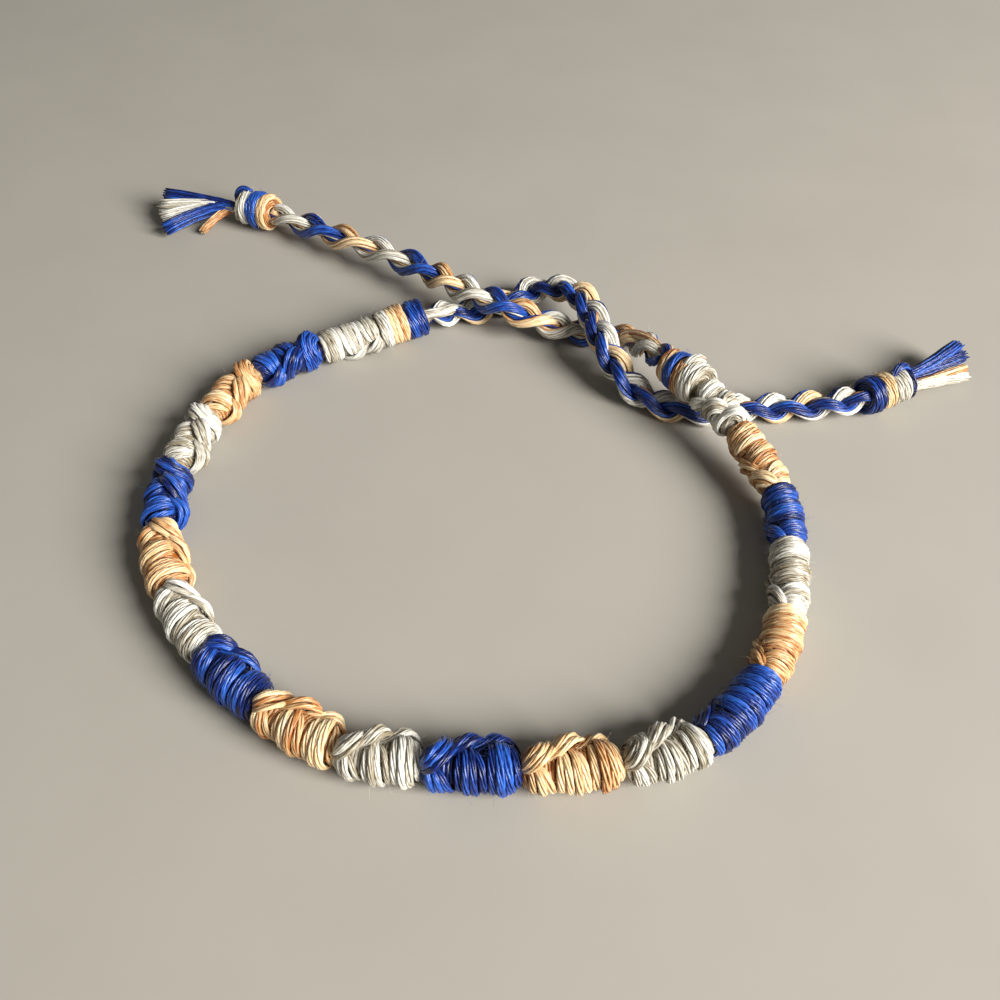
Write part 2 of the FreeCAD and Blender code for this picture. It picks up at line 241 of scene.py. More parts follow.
def make_floss(name, deep, middle, light):
    material = new_material(name)
    tone = add_node(material, "ShaderNodeAttribute", {"attribute_name": "tone"})
    run = add_node(material, "ShaderNodeUVMap", {"uv_map": "yarn"})
    fibres = add_fibres(material, run)
    shade = add_node(material, "ShaderNodeMath",
                     {"operation": "MULTIPLY_ADD", 1: TONE_SPREAD, 2: -TONE_SPREAD / 2},
                     {0: tone.outputs["Fac"]})
    # Tone plus fibre streaks. The streaks follow the bump, so this adds painted shade in the fibre
    # grooves and a painted highlight on the raised fibres to each thread's own dye.
    tone_streaks_and_groove_shade = add_node(material, "ShaderNodeMath", {"operation": "ADD"},
                        {0: shade.outputs["Value"], 1: fibres.outputs["Fac"]})
    dye = add_node(material, "ShaderNodeValToRGB", links={"Fac": tone_streaks_and_groove_shade.outputs["Value"]})
    dye.color_ramp.elements[0].position = DYE_AND_SHADE_STOPS[0]
    dye.color_ramp.elements[0].color = linear(deep)
    dye.color_ramp.elements[1].position = DYE_AND_SHADE_STOPS[2]
    dye.color_ramp.elements[1].color = linear(light)
    dye.color_ramp.elements.new(DYE_AND_SHADE_STOPS[1]).color = linear(middle)
    relief = add_relief(material, run, fibres)
    shader = add_node(material, "ShaderNodeBsdfPrincipled",
                      {"Roughness": 0.36, "IOR": 1.56, "Sheen Weight": 0.08,
                       "Sheen Roughness": 0.4},
                      {"Base Color": dye.outputs["Color"], "Normal": relief.outputs["Normal"]})
    add_node(material, "ShaderNodeOutputMaterial", links={"Surface": shader.outputs["BSDF"]})
    return material


floss = {
    "blue": make_floss("mercerised_cotton_blue", "#010A36", "#082B7C", "#2F69CC"),
    "peach": make_floss("mercerised_cotton_peach", "#9A5418", "#DBB27C", "#F6DFB6"),
    "cream": make_floss("mercerised_cotton_cream", "#85765A", "#CCC8BB", "#F5F4ED"),
}
print("floss colours", sorted(floss))

# %% [markdown]
# Routes. The band and both ties are cords that were laid down by hand, so each follows a smooth
# curve through a few chosen places. The places are the ones that the solid pieces follow, so
# that every thread lands inside its piece. They are measured in millimetres from a point inside
# the band, and MIDDLE moves them to the model's own origin. In the band's table, ridge is where a
# block's row of loops begins, in degrees, and girth is how thick it is beside the usual block.

# %% Places of the band and the ties
MIDDLE = np.array((3.93, 11.45, 0.0))
BAND = (
    # x,     y,     z,   colour,  ridge, girth
    (-15.0, 25.6, 2.30, "cream", 170, 0.97),
    (-21.5, 22.3, 2.20, "blue", 60, 0.97),
    (-28.5, 17.6, 2.20, "peach", 60, 0.98),
    (-32.3, 10.7, 2.20, "cream", 45, 0.97),
    (-34.4, 2.6, 2.20, "blue", 40, 1.00),
    (-34.2, -5.9, 2.20, "peach", 85, 1.02),
    (-31.5, -13.7, 2.20, "cream", 90, 0.98),
    (-26.7, -20.6, 2.20, "blue", 95, 1.06),
    (-20.9, -26.0, 2.20, "peach", 60, 1.00),
    (-13.6, -30.4, 2.20, "cream", 55, 1.02),
    (-6.5, -31.6, 2.20, "blue", 55, 1.08),
    (1.8, -32.1, 2.20, "peach", 60, 1.03),
    (10.2, -31.6, 2.20, "cream", 55, 1.02),
    (17.4, -29.5, 2.20, "blue", 120, 0.97),
    (23.7, -23.2, 2.20, "peach", 120, 0.93),
    (27.0, -16.3, 2.20, "cream", 125, 0.92),
    (28.7, -8.1, 2.30, "blue", 130, 0.90),
    (28.6, -1.2, 2.90, "peach", 110, 0.92),
    (25.5, 6.2, 4.40, "cream", 60, 0.95),
)
BAND_START = ((-9.0, 28.4, 2.40), (-12.0, 27.1, 2.45))
BAND_FINISH = ((22.3, 11.7, 5.35), (18.9, 16.1, 5.30))
TIE_A = (
    (-9.0, 28.4, 2.40), (-6.0, 30.0, 1.75), (-2.5, 30.9, 1.45), (0.6, 32.4, 1.45),
    (3.8, 34.2, 1.90), (7.1, 33.3, 3.10), (9.8, 30.4, 4.25), (11.3, 25.5, 4.45),
    (12.4, 20.5, 4.30), (14.1, 16.7, 3.10), (16.6, 14.4, 1.75), (19.7, 12.9, 1.43),
    (23.0, 12.3, 1.43), (26.8, 12.6, 1.43), (30.2, 12.8, 1.43), (33.4, 12.9, 1.55),
    (36.5, 13.0, 1.80), (39.2, 13.2, 2.10), (41.5, 13.7, 2.30), (47.6, 16.5, 2.30),
)
TIE_B = (
    (18.9, 16.1, 5.30), (18.0, 19.1, 4.60), (16.7, 22.4, 3.00), (14.8, 24.9, 1.75),
    (12.9, 26.0, 1.43), (10.8, 26.5, 1.43), (8.6, 26.9, 1.60), (6.1, 26.9, 2.45),
    (3.7, 26.9, 3.55), (1.2, 27.5, 4.30), (-1.2, 28.9, 4.45), (-3.7, 30.8, 4.45),
    (-6.3, 32.8, 4.40), (-8.9, 35.2, 4.10), (-11.6, 37.4, 3.90), (-15.7, 40.5, 3.70),
    (-19.9, 43.2, 3.50), (-25.1, 46.7, 3.10), (-31.4, 50.9, 2.70), (-37.2, 53.4, 2.60),
)
print("blocks", len(BAND), "places on the ties", len(TIE_A), len(TIE_B))

# %% [markdown]
# A curve through places. Each span leans on its neighbours, so the line passes through every
# place without a corner. The same function smooths any table of numbers, and the hitches below
# use it for more than places. A route then measures itself by the length run along it, and says
# which way is ahead, out to the right and up at any length.

# %% Routes
ROUTE_DIVISIONS = 12
UP = np.array((0.0, 0.0, 1.0))
HEADING_REACH = 0.4


def unit(vectors):
    return vectors / np.linalg.norm(vectors, axis=-1, keepdims=True)


def curve_through(rows, divisions):
    rows = np.array(rows, float)
    ends = np.vstack([2 * rows[0] - rows[1], rows, 2 * rows[-1] - rows[-2]])
    part = np.arange(1, divisions + 1)[:, None] / divisions
    spans = [rows[:1]]
    for before, start, end, after in zip(ends, ends[1:], ends[2:], ends[3:]):
        spans.append((2 * start + (end - before) * part
                      + (2 * before - 5 * start + 4 * end - after) * part ** 2
                      + (3 * start - before - 3 * end + after) * part ** 3) / 2)
    return np.vstack(spans)


class Route:
    def __init__(self, places):
        line = curve_through(np.array(places) - MIDDLE, ROUTE_DIVISIONS)
        steps = np.linalg.norm(np.diff(line, axis=0), axis=1)
        lengths = np.concatenate([[0.0], np.cumsum(steps)])
        self.marks = lengths[::ROUTE_DIVISIONS]
        self.length = lengths[-1]
        # One more straight step at both ends, so that a thread may reach past them
        self.line = np.vstack([2 * line[0] - line[1], line, 2 * line[-1] - line[-2]])
        self.lengths = np.concatenate([[-steps[0]], lengths, [self.length + steps[-1]]])

    def at(self, length):
        return np.stack([np.interp(length, self.lengths, self.line[:, axis])
                         for axis in range(3)], -1)

    def frame(self, length):
        # The place at a length, and the ways ahead, to the right and up from there
        ahead = unit(self.at(length + HEADING_REACH) - self.at(length - HEADING_REACH))
        right = unit(np.cross(ahead, UP))
        return self.at(length), ahead, right, np.cross(right, ahead)

    def around(self, length, turn, radius):
        # A place beside the route, turn radians round it from its right over its top
        centre, ahead, right, up = self.frame(length)
        outward = right * np.cos(turn)[..., None] + up * np.sin(turn)[..., None]
        return centre + outward * np.asarray(radius)[..., None], outward


band_route = Route(BAND_START + tuple(row[:3] for row in BAND) + BAND_FINISH)
tie_a_route = Route(TIE_A)
tie_b_route = Route(TIE_B)
print("band", round(band_route.length), "mm, ties", round(tie_a_route.length), "and",
      round(tie_b_route.length), "mm")

# %% [markdown]
# One thread. Every visible thread is a thin closed tube round a line. A curve object with a bevel
# could draw one, but this bracelet has several thousand with its loose fibres, so the tubes are
# worked out as numbers. Where a thread would sink into the table it is pressed flat on it.

# %% One thread
PLY_SIDES = 5
DEEP_SIDES = 4
HAIR_SIDES = 3
END_ROUNDING = 0.6


def tube_points(line, outward, radius, sides):
    # A ring of points round each place of the line, with smaller rings at both ends
    ahead = unit(np.gradient(line, axis=0))
    side = unit(np.cross(ahead, outward))
    normal = np.cross(side, ahead)
    radii = np.full(len(line), float(radius))
    radii[[0, -1]] *= END_ROUNDING
    angle = 2 * np.pi * np.arange(sides) / sides
    reach = side[:, None] * np.cos(angle)[:, None] + normal[:, None] * np.sin(angle)[:, None]
    rings = line[:, None] + reach * radii[:, None, None]
    rings[..., 2] = np.maximum(rings[..., 2], 0.0)
    return rings.reshape(-1, 3)


def tube_faces(line, sides):
    # The faces between the rings, and for each of their corners its run along the thread, in
    # millimetres, and its share of the way round
    row, column = [grid.ravel() for grid in np.mgrid[:len(line) - 1, :sides]]
    following = (column + 1) % sides
    faces = np.stack([row * sides + column, (row + 1) * sides + column,
                      (row + 1) * sides + following, row * sides + following], -1)
    run = np.concatenate([[0.0], np.cumsum(np.linalg.norm(np.diff(line, axis=0), axis=1))])
    uvs = np.stack([np.stack([run[row + down], (column + over) / sides], -1)
                    for down, over in ((0, 0), (1, 0), (1, 1), (0, 1))], 1)
    return faces, uvs


print("a thread has", PLY_SIDES, "sides")

# %% [markdown]
# A piece from its threads. All threads of a piece become one mesh, because thousands of objects
# would be slow. The mesh keeps how far along its thread and how far round it each corner lies, as
# a UV map for the twist, and the thread's tone, for the dye. The piece then rides on its body and
# takes the place of its solid.

# %% Threads to meshes
PATTERN_SHIFT = 7.0
tally = {}


class Yarn:
    def __init__(self):
        self.points, self.faces, self.uvs, self.tones, self.colours = [], [], [], [], []
        self.caps, self.cap_colours = [], []
        self.count = 0

    def add(self, line, outward, radius, colour=0, tone=0.5, sides=PLY_SIDES):
        faces, uvs = tube_faces(line, sides)
        first = np.arange(sides) + self.count
        last = first[::-1] + (len(line) - 1) * sides
        self.caps += [first.tolist(), last.tolist()]
        self.cap_colours += [colour, colour]
        self.points.append(tube_points(line, outward, radius, sides))
        self.faces.append(faces + self.count)
        self.uvs.append(uvs + (tone * PATTERN_SHIFT, 0.0))
        self.tones.append(np.full(len(line) * sides, tone))
        self.colours.append(np.full(len(faces), colour))
        self.count += len(line) * sides

    def piece(self, name, colours, slot, nodes):
        mesh = bpy.data.meshes.new(name)
        points = np.vstack(self.points) * MM
        faces = np.vstack(self.faces).tolist()
        mesh.from_pydata(points.tolist(), [], faces + self.caps, shade_flat=False)
        uvs = np.concatenate(self.uvs).ravel()
        spare = np.zeros(2 * len(mesh.loops) - len(uvs))
        mesh.uv_layers.new(name="yarn").uv.foreach_set("vector", np.concatenate([uvs, spare]))
        tones = mesh.attributes.new("tone", "FLOAT", "POINT")
        tones.data.foreach_set("value", np.concatenate(self.tones))
        indices = np.concatenate(self.colours + [self.cap_colours]).astype(np.int32)
        mesh.polygons.foreach_set("material_index", indices)
        for colour in colours:
            mesh.materials.append(floss[colour])
        made = bpy.data.objects.new(name, mesh)
        bpy.context.scene.collection.objects.link(made)
        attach(made, "root")
        if nodes:
            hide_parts(*nodes)
        # A face with n corners is n - 2 triangles
        tally[name] = len(mesh.loops) - 2 * len(mesh.polygons)


print("the pattern shifts by up to", PATTERN_SHIFT, "mm from thread to thread")

# %% [markdown]
# Hand-made unevenness. No two threads lie quite alike: each wanders a little to the side, sits a
# little higher or lower, and took a little more or less dye. All of it comes from one seeded
# generator, so the bracelet is the same every time. Short loose fibres stand off the surface,
# because cotton is spun from many hairs a few centimetres long.

# %% Unevenness and fuzz
dice = np.random.default_rng(20)
ANY_TURN = 6.3  # a full turn in radians, rounded
WAVES = (1, 2, 4)
HAIR_RADIUS = 0.008
HAIR_LENGTHS = (0.25, 0.8)
HAIR_POINTS = 4
HAIR_TONE = 0.8
ASKEW = (0.31, 0.52, 0.79)


def wander(count, amount):
    # A slow waver along a line of count points
    part = np.linspace(0, 2 * np.pi, count)
    waves = [math.sqrt(1 / wave) * np.sin(wave * part * dice.uniform(0.6, 1.4)
                                          + dice.uniform(0, ANY_TURN)) for wave in WAVES]
    return amount * sum(waves)


def add_hair(yarn, root, outward, along, colour):
    length = dice.uniform(*HAIR_LENGTHS)
    heading = unit(outward * dice.uniform(0.3, 1.0) + along * dice.normal(0, 0.9)
                   + dice.normal(0, 0.45, 3))
    bend = dice.normal(0, 0.4, 3)
    part = np.linspace(0, 1, HAIR_POINTS)[:, None]
    line = root + heading * length * part + bend * length * part ** 2
    aside = np.tile(unit(np.cross(heading, ASKEW)), (HAIR_POINTS, 1))
    yarn.add(line, aside, HAIR_RADIUS, colour, HAIR_TONE, HAIR_SIDES)


print("one hair is", 2 * HAIR_RADIUS, "mm thick")

# %% [markdown]
# The half hitch. It is what the whole band is made of. The working threads cross the carried
# ones slantwise, which shows as a raised loop, go once round the cord side by side, and come
# back under their own crossing, which locks them. Three such hitches make a block, and the row
# of loops turns slowly round the cord. One table holds the way that the middle of the bundle
# takes, and the bundle's width and depth on the way: gathered and round in the loop, spread flat
# in the wrap.

# %% The way of a half hitch
HITCHES = 3
HITCH_DIVISIONS = 3
RIDGE_TURN = 50.0
WRAP_MIDDLE = 1.90
# turn is in degrees round the cord from the loop's crest, along and width are shares of the
# hitch's length, and rise and depth are in millimetres
HITCH = (
    # turn, along, rise, width, depth
    (-40, -0.56, -0.70, 0.30, 0.34),
    (-30, -0.24, -0.36, 0.44, 0.44),
    (-17, 0.06, 0.14, 0.60, 0.56),
    (0, 0.34, 0.38, 0.70, 0.58),
    (20, 0.57, 0.24, 0.76, 0.48),
    (50, 0.68, 0.00, 0.86, 0.32),
    (100, 0.64, -0.02, 0.97, 0.24),
    (160, 0.58, 0.00, 1.00, 0.22),
    (220, 0.53, 0.00, 1.00, 0.22),
    (275, 0.47, 0.00, 0.98, 0.22),
    (310, 0.40, -0.04, 0.82, 0.30),
    (336, 0.32, -0.34, 0.54, 0.42),
    (358, 0.36, -0.64, 0.36, 0.42),
    (374, 0.48, -0.74, 0.28, 0.40),
)
print("a hitch goes", HITCH[-1][0] - HITCH[0][0], "degrees round the cord")

# %% [markdown]
# Strands and plies. Four strands lie side by side in the bundle, and each is a twist of five
# plies, which gives the coarse and the fine lines of real stranded floss. The plies of one strand
# are close in tone, and the strands differ more.

# %% Strands and plies
STRANDS = 4
STRAND_PLIES = 5
STRAND_TURN_LENGTH = 7.0
PLY_RADII = (0.12, 0.165)
PLY_TONE = 0.13
PLY_WANDER = 0.01
PLY_SLIP = 0.2
TONES = (0.05, 0.95)


def any_tone():
    return dice.uniform(*TONES)


def ply_radius():
    return dice.uniform(*PLY_RADII)


def strand_plies(run, half_width, half_depth):
    # How far each ply of a strand lies beside and above the strand's middle, and its tone
    twist = dice.uniform(0, 2 * np.pi) + 2 * np.pi * run / STRAND_TURN_LENGTH
    dyed = any_tone()
    for ply in range(STRAND_PLIES):
        angle = twist + 2 * np.pi * ply / STRAND_PLIES + dice.normal(0, PLY_SLIP)
        beside = half_width * np.cos(angle) + wander(len(run), PLY_WANDER)
        above = half_depth * np.sin(angle) + wander(len(run), PLY_WANDER)
        yield beside, above, float(np.clip(dyed + dice.normal(0, PLY_TONE), 0, 1))


print("a ply is", 2 * PLY_RADII[0], "to", 2 * PLY_RADII[1], "mm thick")

# %% [markdown]
# Swells and necks. A hitch swells in its middle, and a block was pulled against its neighbours,
# so it falls off towards both ends. A few loops were left slack: LOOSE_LOOPS names them, by block
# and hitch, and says how many times as high as the others they stand.

# %% Swells and necks
BLOCK_EDGE = 0.09
BLOCK_SHOULDER = 0.8
SHOULDER_LENGTH = 0.6
HITCH_CROWN = 0.45
CROWN_LEVEL = 0.35
LOOSE_LOOPS = {(0, 0): 4.0, (0, 1): 2.5, (10, 0): 1.3, (12, 0): 1.3}


def shoulder_at(length, low, high, slack):
    # How far the block from low to high has fallen off at a length
    fall = np.exp(-np.minimum(length - low, high - length) / SHOULDER_LENGTH)
    return slack * BLOCK_SHOULDER * fall


deepest = shoulder_at(BLOCK_EDGE, 0.0, 8.0, 1.0)
print("a neck is up to", round(float(deepest), 2), "mm deep")

# %% [markdown]
# One hitch. Its strands follow the table side by side. The cord's surface is unrolled to a flat
# sheet, with x along the cord and y round it, so that a ply can be moved sideways from the
# middle line, and is then rolled up again. Each strand lies a little higher or lower than the
# next one, as in any bundle that was pulled tight.

# %% One hitch
STRAND_LAYERS = (0.25, -0.4, 0.45, -0.1)
LAYER_HEIGHT = 0.6
STRAND_GAP = 0.1
LEAST_HALF_WIDTH = 0.13
LEAST_HALF_DEPTH = 0.07
DEPTH_SHARE = 0.1
DRIFT_WANDER = 0.045
LIFT_WANDER = 0.03


def add_hitch(yarn, start, pitch, crest, relief, slack, girth, low, high):
    turn, along, rise, width, depth = curve_through(HITCH, HITCH_DIVISIONS).T
    rise = np.where(rise > 0, rise * relief, rise)
    wrap = WRAP_MIDDLE * girth
    x = start + along * pitch
    y = np.radians(crest + turn) * wrap
    step_x, step_y = np.gradient(x), np.gradient(y)
    step = np.hypot(step_x, step_y)
    half_width = np.maximum(LEAST_HALF_WIDTH, width * pitch / (2 * STRANDS) - STRAND_GAP)
    half_depth = LEAST_HALF_DEPTH + DEPTH_SHARE * depth
    for strand in range(STRANDS):
        across = (strand + 0.5) / STRANDS - 0.5
        drift = across * width * pitch + wander(len(x), DRIFT_WANDER)
        layer = STRAND_LAYERS[(strand + dice.integers(0, 2)) % STRANDS]
        lift = layer * depth * LAYER_HEIGHT + wander(len(x), LIFT_WANDER)
        lift = lift + slack * HITCH_CROWN * (CROWN_LEVEL - (2 * across) ** 2)
        for beside, above, dyed in strand_plies(np.cumsum(step), half_width, half_depth):
            shift = drift + beside
            length = np.clip(x + shift * step_y / step, low + BLOCK_EDGE, high - BLOCK_EDGE)
            angle = (y - shift * step_x / step) / wrap
            fall = shoulder_at(length, low, high, slack)
            line, outward = band_route.around(length, angle, wrap + rise + lift + above - fall)
            yarn.add(line, outward, ply_radius(), 0, dyed)


print("plies in a hitch", STRANDS * STRAND_PLIES)

# %% [markdown]
# Under the hitches. Threads of the same colour are wound round the cord deep in the block,
# so that the gaps between its strands look into floss and not into nothing. Their tone is scaled
# down, which paints the shade of the gaps into their colour.

# %% Under layer
UNDER_RADIUS = 1.48
UNDER_SPACING = 0.34
UNDER_PLY_RADIUS = 0.22
UNDER_POINTS = 13
UNDER_WANDER = 0.03
UNDER_PAINTED_SHADE = 0.3
UNDER_MARGINS = (0.2, 0.1)


def add_under_layer(yarn, start, end, slack):
    for length in np.arange(start + UNDER_MARGINS[0], end - UNDER_MARGINS[1], UNDER_SPACING):
        turn = dice.uniform(0, ANY_TURN) + np.linspace(0, 2 * np.pi, UNDER_POINTS)
        radius = UNDER_RADIUS - shoulder_at(length, start, end, slack)
        places = np.full(UNDER_POINTS, length) + wander(UNDER_POINTS, UNDER_WANDER)
        line, outward = band_route.around(places, turn, np.full(UNDER_POINTS, radius))
        # The scaled-down tone is painted shade deep in the block.
        yarn.add(line, outward, UNDER_PLY_RADIUS, 0, UNDER_PAINTED_SHADE * any_tone(), DEEP_SIDES)


print("an under layer thread is", 2 * UNDER_PLY_RADIUS, "mm thick")

# %% [markdown]
# The nineteen blocks. The three hitches of a block differ a little in length and in where their
# loops stand. A block's ridge says where its row of loops begins, in degrees round the cord from
# its outer side over its top. The further that is beyond 60, towards the inner side of the band,
# the tighter the loops were pulled: they stand lower, and the block is more even.

# %% Blocks
HITCH_UNEVENNESS = 0.08
CREST_UNEVENNESS = 6
RIDGES = (60, 115)
RELIEFS = (1.5, 0.3)
SLACKS = (1.0, 0.45)
HAIRS_PER_BLOCK = 80
HAIR_ROOT = 2.0
HAIR_TURNS = (-0.4, 3.5)
FIRST_EDGE = len(BAND_START)


def make_block(index, start, end, colour, ridge, girth):
    yarn = Yarn()
    shares = 1 + dice.uniform(-HITCH_UNEVENNESS, HITCH_UNEVENNESS, HITCHES)
    edges = start + (end - start) * np.concatenate([[0], np.cumsum(shares) / shares.sum()])
    slack = np.interp(ridge, RIDGES, SLACKS)
    add_under_layer(yarn, start, end, slack)
    for hitch in range(HITCHES):
        relief = np.interp(ridge, RIDGES, RELIEFS) * LOOSE_LOOPS.get((index, hitch), 1.0)
        crest = ridge + RIDGE_TURN * (hitch + 0.5) \
            + dice.uniform(-CREST_UNEVENNESS, CREST_UNEVENNESS)
        add_hitch(yarn, edges[hitch], edges[hitch + 1] - edges[hitch], crest, relief, slack,
                  girth, start, end)
    for _ in range(HAIRS_PER_BLOCK):
        length = dice.uniform(start, end)
        turn = np.array(dice.uniform(*HAIR_TURNS))
        radius = HAIR_ROOT * girth - shoulder_at(length, start, end, slack)
        root, outward = band_route.around(length, turn, radius)
        add_hair(yarn, root, outward, band_route.frame(length)[1], 0)
    node = "band_block_%02d_%s" % (index + 1, colour)
    yarn.piece(node + "_hitches", [colour], colour + "_floss", [node])


for index, (*_, colour, ridge, girth) in enumerate(BAND):
    edges = band_route.marks[FIRST_EDGE + index:FIRST_EDGE + index + 2]
    make_block(index, *edges, colour, ridge, girth)
print("hitched blocks", len(BAND), "triangles", sum(tally.values()))

# %% [markdown]
# The coils of the knots. At both ends of the band, and at the end of each tie, one colour after
# another is wound round everything and pulled tight. Some coils change colour at one edge, where
# the next thread was already taken along. In the tables, along is how far a coil's middle lies
# from the face that the knot is measured from, outer is its radius, both in millimetres, and lean
# is how far it tips, in degrees.

# %% Coils of each knot
START_KNOT = (
    # colour, edge colour, along, width, outer, lean
    ("cream", "cream", 5.80, 1.35, 2.35, 3),
    ("peach", "peach", 4.00, 2.20, 2.45, 4),
    ("blue", "blue", 1.60, 2.50, 2.45, 12),
)
FINISH_KNOT = (
    # colour, edge colour, along, width, outer, lean
    ("cream", "peach", 4.05, 2.90, 2.50, 8),
    ("blue", "blue", 2.00, 1.20, 2.40, 10),
    ("peach", "cream", 0.90, 1.20, 2.15, 9),
)
TIE_A_KNOT = (
    # colour, edge colour, along, width, outer, lean
    ("blue", "blue", 0.90, 1.90, 2.30, 3),
    ("peach", "cream", 2.85, 1.95, 2.20, 0),
    ("cream", "blue", 5.00, 2.30, 2.10, -7),
)
TIE_B_KNOT = (
    # colour, edge colour, along, width, outer, lean
    ("peach", "peach", 0.75, 1.55, 2.50, 3),
    ("blue", "blue", 2.30, 1.60, 2.60, 2),
    ("cream", "cream", 4.00, 1.85, 2.40, -2),
)
KNOTS = (
    # name, route, where the knot is measured from, and which way, coils
    ("start_knot_", band_route, 0.0, 1, START_KNOT),
    ("finish_knot_", band_route, band_route.length, -1, FINISH_KNOT),
    ("tie_a_knot_", tie_a_route, tie_a_route.marks[-2], 1, TIE_A_KNOT),
    ("tie_b_knot_", tie_b_route, tie_b_route.marks[-2], 1, TIE_B_KNOT),
)
print("coils", sum(len(coils) for *_, coils in KNOTS))

# %% [markdown]
# Winding. A coil has its own slightly leaning axis on the cord, and every thread of it goes once
# round that axis and a little further.

# %% A coil
COIL_STRAND = 0.56
COIL_TURN = 2 * np.pi * 1.06


class Coil:
    def __init__(self, route, length, width, outer, lean):
        self.centre, self.ahead, self.right, up = route.frame(length)
        tip = math.radians(lean)
        self.axis = self.ahead * math.cos(tip) - up * math.sin(tip)
        self.rise = up * math.cos(tip) + self.ahead * math.sin(tip)
        self.width, self.outer = width, outer
        self.strands = max(2, round(width / COIL_STRAND))
        self.yarn = Yarn()

    def wind(self, turn, reach, shift, radius, colour, dyed, sides):
        outward = self.right * np.cos(turn)[:, None] + self.rise * np.sin(turn)[:, None]
        line = self.centre + outward * reach[:, None] + self.axis * shift[:, None]
        self.yarn.add(line, outward, radius, colour, dyed, sides)


print("a coil's strand is", COIL_STRAND, "mm wide")

# %% [markdown]
# The outside of a coil is its strands laid side by side. Each moves on by its own width in one
# turn, starts and ends on the underside of the knot, and dives under its neighbours there. The
# edges of a coil sit lower than its middle.

# %% Strands of a coil
COIL_STEPS = 34
COIL_CROWN = 0.2
COIL_SKIN = 0.27
COIL_EDGE = 0.2
COIL_WANDER = 0.03
TUCK_DEPTH = 0.4
TUCK_TURN = 0.5
COIL_GAP = 0.06
COIL_HALF_DEPTH = 0.14
COIL_STARTS = (3.6, 5.2)
EDGE_SHARE = 0.6


def add_coil_strands(coil):
    part = np.linspace(0, 1, COIL_STEPS)
    run = part * coil.outer * COIL_TURN
    half_width = 0.5 * coil.width / coil.strands - COIL_GAP
    tuck = TUCK_DEPTH * np.clip(1 - np.minimum(part, 1 - part) * COIL_TURN / TUCK_TURN, 0, 1)
    for strand in range(coil.strands):
        turn = dice.uniform(*COIL_STARTS) + COIL_TURN * part
        across = (strand + part) / coil.strands - 0.5
        drift = across * (coil.width - COIL_EDGE) + wander(COIL_STEPS, COIL_WANDER)
        crown = coil.outer - COIL_SKIN - COIL_CROWN * (2 * across) ** 2 - tuck \
            + wander(COIL_STEPS, COIL_WANDER)
        colour = 1 if strand >= EDGE_SHARE * coil.strands else 0
        for beside, above, dyed in strand_plies(run, half_width, COIL_HALF_DEPTH):
            coil.wind(turn, crown + above, drift + beside, ply_radius(), colour, dyed, PLY_SIDES)


print("a coil's end dives", TUCK_DEPTH, "mm")

# %% [markdown]
# The inside. Threads fill a coil in four layers, crowded in the two outer ones that can be
# seen between the strands and sparse below them. Their tone is scaled down, which paints the shade
# inside the coil into their colour. Then the coil gets its loose fibres and becomes a piece.

# %% Filling, and all coils
FILL_DEPTHS = (0.42, 0.75, 1.1, 1.4)
CROWDED_DEPTH = 1
FILL_STEPS = 20
FILL_RADIUS = 0.19
FILL_PAINTED_SHADE = 0.4
FILL_SKIN = 0.2
FILL_EDGE = 0.45
FILL_DRIFT_WANDER = 0.02
FILL_REACH_WANDER = 0.03
HAIRS_PER_COIL = 25
HAIR_DEPTH = 0.05
HAIR_SPREAD = 0.4


def fill_coil(coil):
    part = np.linspace(0, 1, FILL_STEPS)
    for depth in FILL_DEPTHS:
        count = coil.strands * 2 + 1 if depth < CROWDED_DEPTH else 2
        for across in np.linspace(-0.5, 0.5, count):
            turn = dice.uniform(0, ANY_TURN) + COIL_TURN * part
            shift = across * (coil.width - FILL_EDGE) + wander(FILL_STEPS, FILL_DRIFT_WANDER)
            reach = coil.outer - FILL_SKIN - depth + wander(FILL_STEPS, FILL_REACH_WANDER)
            # The scaled-down tone is painted shade inside the coil.
            coil.wind(turn, reach, shift, FILL_RADIUS, 0, FILL_PAINTED_SHADE * any_tone(), DEEP_SIDES)


def add_coil_hairs(coil):
    for _ in range(HAIRS_PER_COIL):
        turn = dice.uniform(*HAIR_TURNS)
        outward = coil.right * math.cos(turn) + coil.rise * math.sin(turn)
        root = coil.centre + outward * (coil.outer - HAIR_DEPTH) \
            + coil.axis * dice.uniform(-HAIR_SPREAD, HAIR_SPREAD) * coil.width
        add_hair(coil.yarn, root, outward, coil.ahead, 0)


for name, route, face, way, coils in KNOTS:
    for colour, edge_colour, along, width, outer, lean in coils:
        coil = Coil(route, face + way * along, width, outer, lean)
        add_coil_strands(coil)
        fill_coil(coil)
        add_coil_hairs(coil)
        coil.yarn.piece(name + colour + "_coil", [colour, edge_colour], colour + "_floss",
                        [name + colour])
print("with the coils, triangles", sum(tally.values()))

# %% [markdown]
# The last turn of a knot. Where a knot was closed, one strand climbs over its coils and is tucked
# in, which shows as a small hump on each of the four knots. Beside the finish knot one strand of
# the braid also stands off in a loose loop. Each is a short round bundle of threads along a curve,
# with an outer ring of threads and an inner one that fills it.

